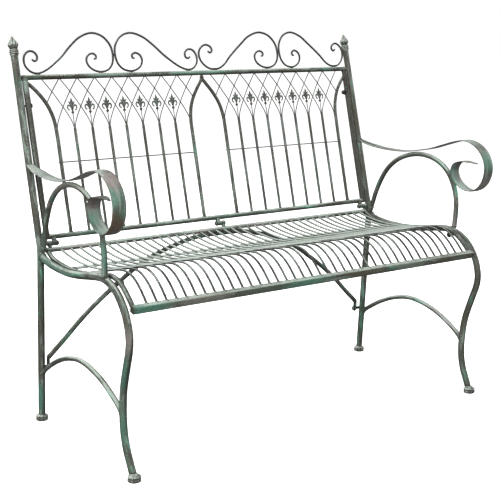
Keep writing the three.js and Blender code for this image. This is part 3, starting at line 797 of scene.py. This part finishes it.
def rear_post():
    leg = between((FRAME_HALF, -0.4, FOOT_HEIGHT - 2), (FRAME_HALF, -30.4, 426), 25)
    bend = [Vector((FRAME_HALF, -33.6, 462)), Vector((FRAME_HALF, -31.5, 489))]
    up = between(on_back(FRAME_HALF, 42), on_back(FRAME_HALF, POST_TOP), 25)
    shell = Shell()
    shell.tube(smooth([*leg, *bend, *up], 6), TUBE, X_AXIS, 28)
    return shell.bend(post_inset)


def front_leg():
    shell = Shell()
    line = smooth(in_side(LEG_LINE), 5)
    shell.tube([p for p in line if p.z > FOOT_HEIGHT - 2], TUBE, X_AXIS, 28)
    shell.side_weld(-46, 462.5, (-1, -0.4), TUBE, 2.2)
    return shell.bend(leg_inset)


def arm_arch():
    shell = Shell()
    shell.tube(smooth(in_side(ARCH_LINE), 5), ARCH_TUBE, X_AXIS, 24)
    shell.side_weld(-49, 487, (-0.35, 1), ARCH_TUBE)
    shell.side_weld(-406, 479, (0, 1), ARCH_TUBE)
    return shell.bend(arch_lean)


def arm_shape(x, y, z):
    in_tip = -480 < y < ARM_TIP_Y and abs(z - 668) < 15
    tip = 1 - 0.93 * ramp(y, ARM_TIP_Y, -474) ** 1.7 if in_tip else 1
    root = 0.6 + 0.4 * ramp(y, 14, -48)
    return FRAME_HALF + (x - FRAME_HALF) * tip * root + ARM_SPLAY * ramp(y, 0, -420)


def armrest():
    """A flat strip, beaten a little uneven, with rounded edges that are worn dark."""
    across = 14
    phase = rng.uniform(0, 30)
    half, thick, crown = ARM_HALF, ARM_THICK / 2, 0.9

    def outline(t, s):
        top, under = [], []
        for k in range(across + 1):
            u = half * math.cos(math.pi * k / across)
            rim = math.sqrt(max(0.0, 1 - (abs(u) / half) ** 8))
            dent = 0.35 * noise.noise(Vector((u * 0.12 + phase, s * 0.07, 1)))
            lift = crown * (1 - (u / half) ** 2) - crown / 2 + dent
            top.append((u, lift + thick * rim))
            under.append((u, lift - thick * rim))
        return top + under[-2:0:-1]

    def edge(j):
        k = j if j <= across else 2 * across - j
        return (1.0, 0.75, 0.12)[min(k, across - k)] if min(k, across - k) < 3 else 0.0

    shell = Shell()
    shell.sweep(smooth(in_side(ARM_LINE), 4), outline, X_AXIS, edge)
    shell.blob(Vector((FRAME_HALF, 10, 695)), (7, 4), Y_AXIS)
    return shell.bend(arm_shape)


def side_stretcher():
    shell = Shell()
    shell.tube(smooth(in_side(STRETCHER_LINE), 5), STRETCHER_TUBE, X_AXIS, 24)
    shell.side_weld(-16, 136, (-0.75, 0.8), STRETCHER_TUBE)
    shell.side_weld(-456, 155, (-1, -0.8), STRETCHER_TUBE)
    return shell.bend(stretcher_lean)


def foot(x, y):
    """A turned cap: a round pad, a dark groove and a flared lip under the tube."""
    profile = [(0.6, 0), (13.2, 0), (15.2, 0.7), (16.3, 2.2), (16.5, 5.0), (16.1, 7.4),
               (15.4, 8.2), (14.2, 8.5), (14.0, 9.6), (15.3, 9.9), (16.4, 10.6),
               (16.6, 12.0), (15.6, 13.6), (12.8, 15.2), (10.8, 16.6), (10.2, 18.2),
               (9.2, 18.8), (0.6, 18.8)]
    shell = Shell()
    shell.lathe(profile, Vector((x, y, 0)), Z_AXIS, 40,
                wear=lambda a, h: 1.0 if 8.0 < h < 10.0 else 0.35 * ramp(h, 3, 0))
    return shell


def finial():
    """A turned collar and a bud wrapped in two rows of pointed leaves."""
    profile = [(0.4, -4), (10.2, -4), (10.6, -0.5), (11.6, 0.4), (12.1, 1.6), (11.7, 2.9),
               (10.7, 3.5), (10.7, 4.1), (11.7, 4.8), (12.1, 6.0), (11.7, 7.3), (10.6, 7.9),
               (10.6, 8.5), (11.6, 9.2), (11.9, 10.4), (11.4, 11.6), (10.4, 12.2)]
    bud = [(10.6, 13), (11.0, 14.5), (11.6, 16.5), (12.1, 18.5), (12.5, 20.5), (12.7, 22.5),
           (12.7, 24.5), (12.5, 26.5), (12.0, 28.5), (11.3, 30.5), (10.4, 32.5), (9.4, 34.5),
           (8.2, 36.5), (7.0, 38.5), (5.6, 40.5), (4.3, 42.5), (3.1, 44.5), (1.8, 46.3),
           (0.5, 47.8)]

    def leaf(angle, height, low, high, turn, count):
        part = ramp(height, low, high)
        if not 0 < part < 1:
            return 0.0
        sector = 2 * math.pi / count
        off = abs((angle + turn + sector / 2) % sector - sector / 2) / (sector / 2)
        width = math.sin(math.pi * part ** 0.62) ** 0.8
        inside = ramp(off, width, width * 0.72)
        rib = 0.35 * ramp(off, 0.16, 0.0)
        return inside * (0.5 + 0.6 * part) - rib * inside * 0.4

    def relief(angle, height):
        if height < 13:
            return 1.0
        lower = leaf(angle, height, 12, 33, 0.0, 5)
        upper = leaf(angle, height, 20, 46, math.pi / 5, 5)
        return 0.84 + 0.17 * lower + 0.12 * upper

    def dip(height):
        return 0.7 * any(abs(height - groove) < 0.6 for groove in (3.8, 8.2, 12.6))

    shell = Shell()
    centre = on_back(FRAME_HALF - POST_INSET, POST_TOP)
    shell.lathe(profile + bud, centre, BACK_UP, 96, relief,
                lambda a, h: ramp(relief(a, h), 0.95, 0.86) * (h > 13) * 0.9 + dip(h))
    return shell


# ---- back panel --------------------------------------------------------------------
def back_rail(up):
    half = STILE_X + STILE
    shell = Shell()
    shell.tube(between(on_back(-half, up), on_back(half, up)), RAIL, BACK_OUT, 24)
    return shell


def back_stile():
    shell = Shell()
    low, high = on_back(STILE_X, BACK_BOTTOM), on_back(STILE_X, BACK_TOP)
    shell.tube(between(low, high), STILE, X_AXIS, 26)
    shell.weld(on_back(STILE_X, BACK_BOTTOM + RAIL), BACK_UP, STILE)
    shell.weld(on_back(STILE_X, BACK_TOP - RAIL), BACK_UP, STILE)
    return shell


def arch_bar(line):
    bend = smooth(on_back_line(line[:-1]), 5)
    shell = Shell()
    shell.tube(bend[:-1] + between(bend[-1], on_back(*line[-1])), BAR, BACK_OUT, 20)
    shell.weld(on_back(line[-1][0], BACK_BOTTOM + RAIL + 0.5), BACK_UP, BAR, 1.5)
    return shell


def outer_bar(stile):
    """stile is the distance of the stile beside it, where the bar's end is welded on."""
    first, second = OUTER_BAR_LINE[:2]
    along = (stile - STILE + 1 - second[0]) / (first[0] - second[0])
    end = (stile - STILE + 1, second[1] + along * (first[1] - second[1]))
    shell = arch_bar([end, *OUTER_BAR_LINE[1:]])
    shell.blob(on_back(end[0], end[1]), (4.5, 5.5))
    return shell


def inner_bar():
    shell = arch_bar(INNER_BAR_LINE[1:])
    shell.blob(on_back(1.5, 444), (5.0, 6.0))
    return shell


def spindle(i):
    x = FIRST_BAR + PITCH * i
    shell = Shell()
    path = between(on_back(x, BACK_BOTTOM), on_back(x, FORK + 2), 8)
    shell.tube(path, SPINDLE, BACK_OUT, 16, lambda t: 1 - 0.2 * ramp(t, 0.95, 1))
    shell.weld(on_back(x, BACK_BOTTOM + RAIL + 0.4), BACK_UP, SPINDLE, 1.4)
    return shell


def bar_limits():
    """The middle line of each arch bar, as (distance up the plane, x)."""
    limits = []
    for line in (INNER_BAR_LINE, OUTER_BAR_LINE):
        points = smooth([(x, up, 0) for x, up in line], 4)
        limits.append(sorted((p.y, p.x) for p in points))
    return limits


def fleur(shell, x):
    """A cast fleur-de-lis: a knob, two drooping petals and a leafed spear."""
    base = on_back(x, FLEUR)

    def stroke(line, widths, thick):
        path = smooth([base + X_AXIS * u + BACK_UP * up + BACK_OUT * 0.4 for u, up in line],
                      1.1)

        def outline(t, s):
            k = min(int(t * (len(widths) - 1)), len(widths) - 2)
            part = t * (len(widths) - 1) - k
            width = widths[k] + (widths[k + 1] - widths[k]) * part
            return [(thick * min(1.0, 0.45 + width * 0.3) * a, width * b)
                    for a, b in circle(1.0, 10)]

        shell.sweep(path, outline, BACK_OUT, end_wear=2.0)

    shell.blob(base, (4.1, 3.8), BACK_UP, 0.06, 0.9)
    shell.blob(base + BACK_UP * 8.5, (3.6, 1.7), BACK_UP, 0.06, 0.8)
    stroke([(0, 1), (0, 10), (0, 18), (0, 27), (0, 34), (0, 40)],
           (2.2, 2.1, 3.2, 5.0, 3.4, 0.3), 2.1)
    for side in (-1, 1):
        hook = [(0.8, 7), (3.0, 13.5), (6.6, 18.6), (10.4, 19.6), (13.2, 16.4), (13.2, 11.5),
                (10.8, 7.6), (8.4, 6.8)]
        stroke([(side * u, up) for u, up in hook], (1.6, 2.1, 2.5, 2.5, 2.2, 1.8, 1.8), 1.9)
        leaf = [(0.5, 19), (3.2, 23), (6.4, 26.4), (8.8, 30.5)]
        stroke([(side * u, up) for u, up in leaf], (2.0, 2.9, 2.4, 0.4), 1.6)


def lattice():
    inner, outer = bar_limits()
    shell = Shell()
    for i in range(-1, SPINDLES + 3):
        x = FIRST_BAR + PITCH * i
        for direction in (1, -1):
            if (direction == 1 and i > SPINDLES) or (direction == -1 and i < 1):
                continue
            line = smooth([(x + direction * u, up, 0) for u, up in WIRE_LINE], 3)
            kept = [p for p in line if p.y > FORK - 10
                    and read_off(inner, p.y) - 1 < p.x < read_off(outer, p.y) + 1]
            if len(kept) > 2:
                path = [on_back(p.x, p.y, 1.0 * direction) for p in kept]
                shell.tube(path, WIRE, BACK_OUT, 8, uneven=0.03)
        if 1 <= i <= SPINDLES:
            stem = between(on_back(x, FORK - 8), on_back(x, FLEUR), 4)
            shell.tube(stem, WIRE * 0.85, BACK_OUT, 8)
            fleur(shell, x)
    for u, up in ((PITCH / 2, 374.5), (0, 416.5)):
        for i in range(0, SPINDLES + 2):
            x = FIRST_BAR + PITCH * i + u
            if read_off(inner, up) < x < read_off(outer, up):
                shell.blob(on_back(x, up), (2.1, 2.4), BACK_OUT, 0.25, 0.9)
    return shell


def tie_wire():
    out = BAR + TIE_WIRE - 10.9
    shell = Shell()
    path = between(on_back(FIRST_BAR - BAR, TIE, out), on_back(LAST_BAR + BAR, TIE, out), 8)
    shell.tube(path, TIE_WIRE, BACK_OUT, 8)
    for i in range(0, SPINDLES + 2):
        shell.blob(on_back(FIRST_BAR + PITCH * i, TIE, out), (1.7, 1.7), BACK_OUT, 0.2, 0.8)
    return shell


def scroll(middle, side, stretch, outline):
    line = [(middle + side * stretch * u, up) for u, up in outline]
    shell = Shell()
    path = smooth(on_back_line(line), 3)
    shell.tube(path, SCROLL_ROD, BACK_OUT, 14,
               lambda t: 0.72 + 0.28 * min(ramp(t, 0, 0.02), ramp(t, 1, 0.98)))
    touch = min(outline[8:12], key=lambda point: point[1])[0]
    for u in (touch, 48):
        shell.blob(on_back(middle + side * stretch * u, BACK_TOP + RAIL + 0.4), (4.6, 1.6),
                   BACK_UP, 0.2, 0.6)
    if side == 1:
        shell.blob(on_back(middle, 513), (1.6, 4.0), BACK_UP, 0.2, 0.6)
    return shell


# ---- seat panel --------------------------------------------------------------------
def seat_back_rail():
    half = SEAT_SIDE_X + SEAT_TUBE
    y, z = SEAT_BACK_RAIL
    shell = Shell()
    shell.tube(between((-half, y, z), (half, y, z)), SEAT_TUBE, Y_AXIS, 24)
    return shell


def seat_front_rail():
    """A square tube with rounded corners, turned to follow the roll of the seat."""
    half = SEAT_SIDE_X + SEAT_TUBE
    tilt = Vector((0, math.cos(FRONT_RAIL_TILT), math.sin(FRONT_RAIL_TILT)))
    y, z = FRONT_RAIL
    path = between((-half, y, z), (half, y, z), 10)
    path = [path[0], path[0] + X_AXIS, *path[1:-1], path[-1] - X_AXIS, path[-1]]
    last = len(path) - 1

    def outline(t, s):
        size = FRONT_RAIL_HALF * (0.93 if round(t * last) in (0, last) else 1.0)
        return rounded_box(size, size, 2.4, 4)

    shell = Shell()
    shell.sweep(path, outline, tilt)
    return shell


def bolt(shell, start, end, head=6.5):
    """A hexagon bolt with a washer, from its head at start to its tip at end."""
    start, end = Vector(start), Vector(end)
    axis = (end - start).normalized()

    def hexagon(a, h):
        return math.cos(math.pi / 6) / math.cos((a % (math.pi / 3)) - math.pi / 6)

    top = [(0.3, -0.3), (head * 0.5, -0.2), (head * 0.92, 0.3), (head * 1.04, 1.0),
           (head * 1.04, 3.8), (head * 0.98, 4.1), (0.3, 4.1)]
    shell.lathe(top, start, axis, 36, hexagon, lambda a, h: ramp(h, 1.2, 0.2))
    washer = [(0.3, 4.1), (head * 1.22, 4.1), (head * 1.3, 4.5), (head * 1.3, 5.1),
              (0.3, 5.3)]
    shell.lathe(washer, start, axis, 36, wear=lambda a, h: 0.5)
    length = (end - start).length
    shank = [(0.3, 4.9), (SHANK, 5), (SHANK, length - 1), (SHANK * 0.8, length), (0.3, length)]
    shell.lathe(shank, start, axis, 20)


def sleeve(shell, start, end, radius):
    start, end = Vector(start), Vector(end)
    length = (end - start).length
    profile = [(0.3, 0), (radius * 0.9, 0), (radius, 0.6), (radius, length - 0.6),
               (radius * 0.9, length), (0.3, length)]
    shell.lathe(profile, start, end - start, 24, wear=lambda a, h: 0.25)


def seat_side_rail(frame_at):
    """frame_at is how far the side frame is from the middle of the seat."""
    shell = Shell()
    shell.tube(smooth(in_side(SEAT_SIDE_LINE, SEAT_SIDE_X), 5), SEAT_TUBE, X_AXIS, 24)
    y, z = SEAT_BOLT
    inner = SEAT_SIDE_X - SEAT_TUBE - 9
    bolt(shell, (inner, y, z), (frame_at - 4, y, z))
    sleeve(shell, (SEAT_SIDE_X, y, z), (frame_at, y, z), 5.0)
    return shell


def seat_slats():
    path = smooth([(0, y, z) for y, z in SEAT_ROD_LINE], 6)
    heights = sorted((p.y, p.z) for p in path)
    shell = Shell()
    for i in range(SEAT_RODS):
        x = ROD_PITCH * (i - (SEAT_RODS - 1) / 2) - SEAT_SHIFT
        bow = rng.uniform(-0.5, 0.5)
        rod = [p + X_AXIS * (x + bow * math.sin(math.pi * k / len(path)))
               for k, p in enumerate(path)]
        shell.tube(rod, SEAT_ROD, X_AXIS, 12)
        for y in STRIPS_Y:
            z = read_off(heights, y) - SEAT_ROD + 0.2
            shell.blob(Vector((x, y, z)), (2.8, 1.3), Z_AXIS, 0.25, 0.5)
        shell.blob(Vector((x, SEAT_BACK_RAIL[0] - 6, SEAT_BACK_RAIL[1] - 0.5)), (3.6, 2.2))
        shell.blob(Vector((x, FRONT_RAIL[0] + 1, FRONT_RAIL[1] + 8.4)), (3.6, 1.8))
    inside = SEAT_SIDE_X - 3
    for y in STRIPS_Y:
        z = read_off(heights, y) - SEAT_ROD - STRIP_THICK / 2 + 0.6
        strip = between((-inside, y, z), (inside, y, z), 10)
        shell.sweep(strip, lambda t, s: rounded_box(STRIP_HALF, STRIP_THICK / 2, 1.1, 3),
                    Y_AXIS)
    return shell


# ---- brace, bolts and connectors ------------------------------------------------------
def brace_y(z):
    return BRACE_FOOT_Y - REAR_LEG_SLOPE * z


def seat_brace():
    """An arched tube with a flat tab let into each end, where it is bolted on."""
    half = [Vector((x, brace_y(z), z)) for x, z in [*BRACE_LINE, (540.5, 173)]]
    other = [Vector((-p.x, p.y, p.z)) for p in reversed(half[1:])]
    shell = Shell()
    shell.tube(smooth([*other, *half], 5), BRACE_TUBE, Y_AXIS, 24)
    for side in (-1, 1):
        path = between((side * TAB_X, brace_y(176), 176), (side * TAB_X, brace_y(139), 139), 8)
        shell.sweep(path, lambda t, s: rounded_box(2.5, 6.5 * math.sqrt(1.04 - t ** 12), 1.6, 3),
                    X_AXIS, end_wear=5)
    return shell


def brace_bolt():
    shell = Shell()
    y, z = brace_y(TAB_BOLT_Z), TAB_BOLT_Z
    bolt(shell, (TAB_X - 9, y, z), (FRAME_HALF - 2, y, z))
    sleeve(shell, (TAB_X + 2.8, y, z), (FRAME_HALF - 6, y - 1, z), 4.6)
    return shell


def post_bolt(frame_at, height):
    """A bolt from stile to post; height is that of the cap nut inside the stile."""
    shell = Shell()
    place = on_back(0, POST_BOLT)
    y, z = place.y, place.z
    inner = STILE_X - STILE
    bolt(shell, (inner + 1, y, z), (frame_at - 4, y, z), 5.6)
    cap = [(0.3, height), (3.4, height - 0.5), (5.6, height - 2.2), (6.6, height - 5),
           (6.8, 2), (8.2, 1.6), (8.4, 0.4), (8.0, 0), (0.3, 0)]
    low = [(0.3, height), (4.0, height - 0.4), (6.0, height - 1.6), (6.6, 0), (0.3, 0)]
    shell.lathe(cap if height > 8 else low, Vector((inner, y, z)), -X_AXIS, 30,
                wear=lambda a, h: 0.4 * (h < 2))
    return shell


def connector(x):
    """Two lugs, down to the seat and up to the back, joined by a barrel on a bolt."""
    y, z = CONNECTOR_AT
    shell = Shell()
    sleeve(shell, (x - 13, y, z), (x + 2.6, y, z), BARREL)
    sleeve(shell, (x + 3.2, y, z), (x + 15, y, z), BARREL)
    bolt(shell, (x - 17, y, z), (x + 17.5, y, z), 6.3)
    for lug_x, half, end in ((x - 6, 5.2, Vector((x - 6, -27, 506))),
                             (x + 9, 4.0, Vector((x + 9, -39, 479)))):
        path = between((lug_x, y, z), end, 2)
        shell.sweep(path, lambda t, s: rounded_box(half, 5.6, 2.0, 3), X_AXIS, end_wear=0)
    return shell


# ---- the bench -----------------------------------------------------------------------
make_camera()
make_studio()

TUBES = verdigris("tubes", highlight=0.0, teal=0.45, mauve=0.3, olive=0.4, spots=TUBE_SPOTS)
ARCHES = verdigris("arches", highlight=0.22, teal=0.4, mauve=0.6, olive=0.25, edge_shade=0.7,
                   spots=TUBE_SPOTS)
SIDE_RAILS = verdigris("side_rails", highlight=-0.1, teal=0.3, mauve=0.0, olive=0.5, dark=0.4)
# a darker copy of the paint: painted shade for the stiles, which stand in shade beside the posts
STILES = verdigris("stiles", highlight=-0.2, teal=0.0, mauve=0.0, olive=0.6, dark=0.35,
                   spots=STILE_SPOTS)
RAILS = verdigris("rails", highlight=0.5, teal=0.5, mauve=0.4, olive=0.35, edge_shade=0.75,
                  spots=BACK_RAIL_SPOTS)
SEAT_RAIL = verdigris("seat_rail", highlight=0.75, teal=0.2, mauve=0.5, olive=0.2, edge_shade=0.5)
SQUARE = verdigris("square_rail", highlight=0.2, teal=0.4, mauve=0.2, olive=0.5, edge_shade=0.3,
                   speckle=0.9, spots=FRONT_RAIL_SPOTS)
BARS = verdigris("bars", highlight=0.05, teal=0.1, mauve=0.1, olive=0.4, dark=0.3)
RODS = verdigris("rods", highlight=0.1, teal=-0.1, mauve=0.1, olive=0.2, dark=0.85)
BRACE = verdigris("brace", highlight=0.1, teal=0.45, mauve=-0.2, olive=0.4, dark=0.15)
STRIPS = verdigris("strips", highlight=0.0, teal=0.2, mauve=0.5, olive=0.1, edge_shade=0.4,
                   size=1.9, speckle=0.4, spots=ARM_SPOTS)
CASTINGS = verdigris("castings", highlight=0.15, teal=0.3, mauve=-0.1, olive=0.4, size=0.6,
                     speckle=1.0)
FINIALS = verdigris("finials", highlight=0.9, teal=0.3, mauve=-0.1, olive=0.5, edge_shade=0.6,
                    size=0.6, speckle=1.0)
FLEURS = verdigris("fleurs", highlight=-0.2, teal=0.1, mauve=-0.1, olive=0.2, dark=0.5,
                   size=0.6)
# the seat's rods get a band of painted highlight across the middle of the seat
SLATS = verdigris("slats", highlight=-0.05, teal=0.05, mauve=0.25, olive=0.3, dark=0.66,
                  highlight_span=(-0.39, -0.32, -0.17, -0.09))
FIXINGS = fixing_metal("dark_fixings")

add_pair("rear_post", rear_post, TUBES)
add_pair("finial", finial, FINIALS)
add_pair("front_leg", front_leg, TUBES)
add_pair("arm_arch", arm_arch, ARCHES)
add_pair("armrest", armrest, STRIPS)
add_pair("side_stretcher", side_stretcher, ARCHES)
add_pair("rear_foot", lambda: foot(FRAME_HALF, 0), CASTINGS)
add_pair("front_foot", lambda: foot(FRAME_HALF - LEG_INSET, FRONT_FOOT_Y), CASTINGS)

add_piece("back_top_rail", back_rail(BACK_TOP), RAILS, shift=RIM_SHIFT)
add_piece("back_bottom_rail", back_rail(BACK_BOTTOM), RAILS, shift=RIM_SHIFT)
add_pair("back_stile", back_stile, STILES, shift=RIM_SHIFT)
apart = BACK_SHIFT - RIM_SHIFT
add_piece("arch_bar_outer_right", outer_bar(STILE_X - apart), BARS, shift=BACK_SHIFT)
add_piece("arch_bar_outer_left", outer_bar(STILE_X + apart).mirrored(), BARS,
          shift=BACK_SHIFT)
add_pair("arch_bar_inner", inner_bar, BARS, shift=BACK_SHIFT)
for number in range(1, SPINDLES + 1):
    add_pair(f"spindle_{number}", lambda: spindle(number), BARS, shift=BACK_SHIFT)
add_pair("lattice", lattice, FLEURS, shift=BACK_SHIFT)
add_pair("tie_wire", tie_wire, RODS, shift=BACK_SHIFT)
for node, spec in SCROLLS.items():
    add_piece(node, scroll(*spec), RODS, shift=BACK_SHIFT)

add_piece("seat_back_rail", seat_back_rail(), SEAT_RAIL, shift=SEAT_SHIFT)
add_piece("seat_front_rail", seat_front_rail(), SQUARE, shift=SEAT_SHIFT)
add_piece("seat_side_rail_right", seat_side_rail(FRAME_HALF - SEAT_SHIFT), SIDE_RAILS,
          shift=SEAT_SHIFT)
add_piece("seat_side_rail_left", seat_side_rail(FRAME_HALF + SEAT_SHIFT).mirrored(),
          SIDE_RAILS, shift=SEAT_SHIFT)
add_piece("seat_slats", seat_slats(), SLATS, shift=SEAT_SHIFT)
add_piece("seat_brace", seat_brace(), BRACE)
left_lug, centre_lug, right_lug = CONNECTORS
add_piece("connector_left", connector(left_lug).mirrored(), RAILS)
add_piece("connector_centre", connector(centre_lug), RAILS)
add_piece("connector_right", connector(right_lug), RAILS)
add_pair("brace_bolt", brace_bolt, FIXINGS)
add_piece("post_bolt_left", post_bolt(FRAME_HALF + RIM_SHIFT, POST_NUTS[0]).mirrored(),
          FIXINGS, RIM_SHIFT)
add_piece("post_bolt_right", post_bolt(FRAME_HALF - RIM_SHIFT, POST_NUTS[1]), FIXINGS,
          RIM_SHIFT)

sizes = {"cad": cad_box, "visual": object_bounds()}
{key: [list(corner) for corner in box] for key, box in sizes.items()}
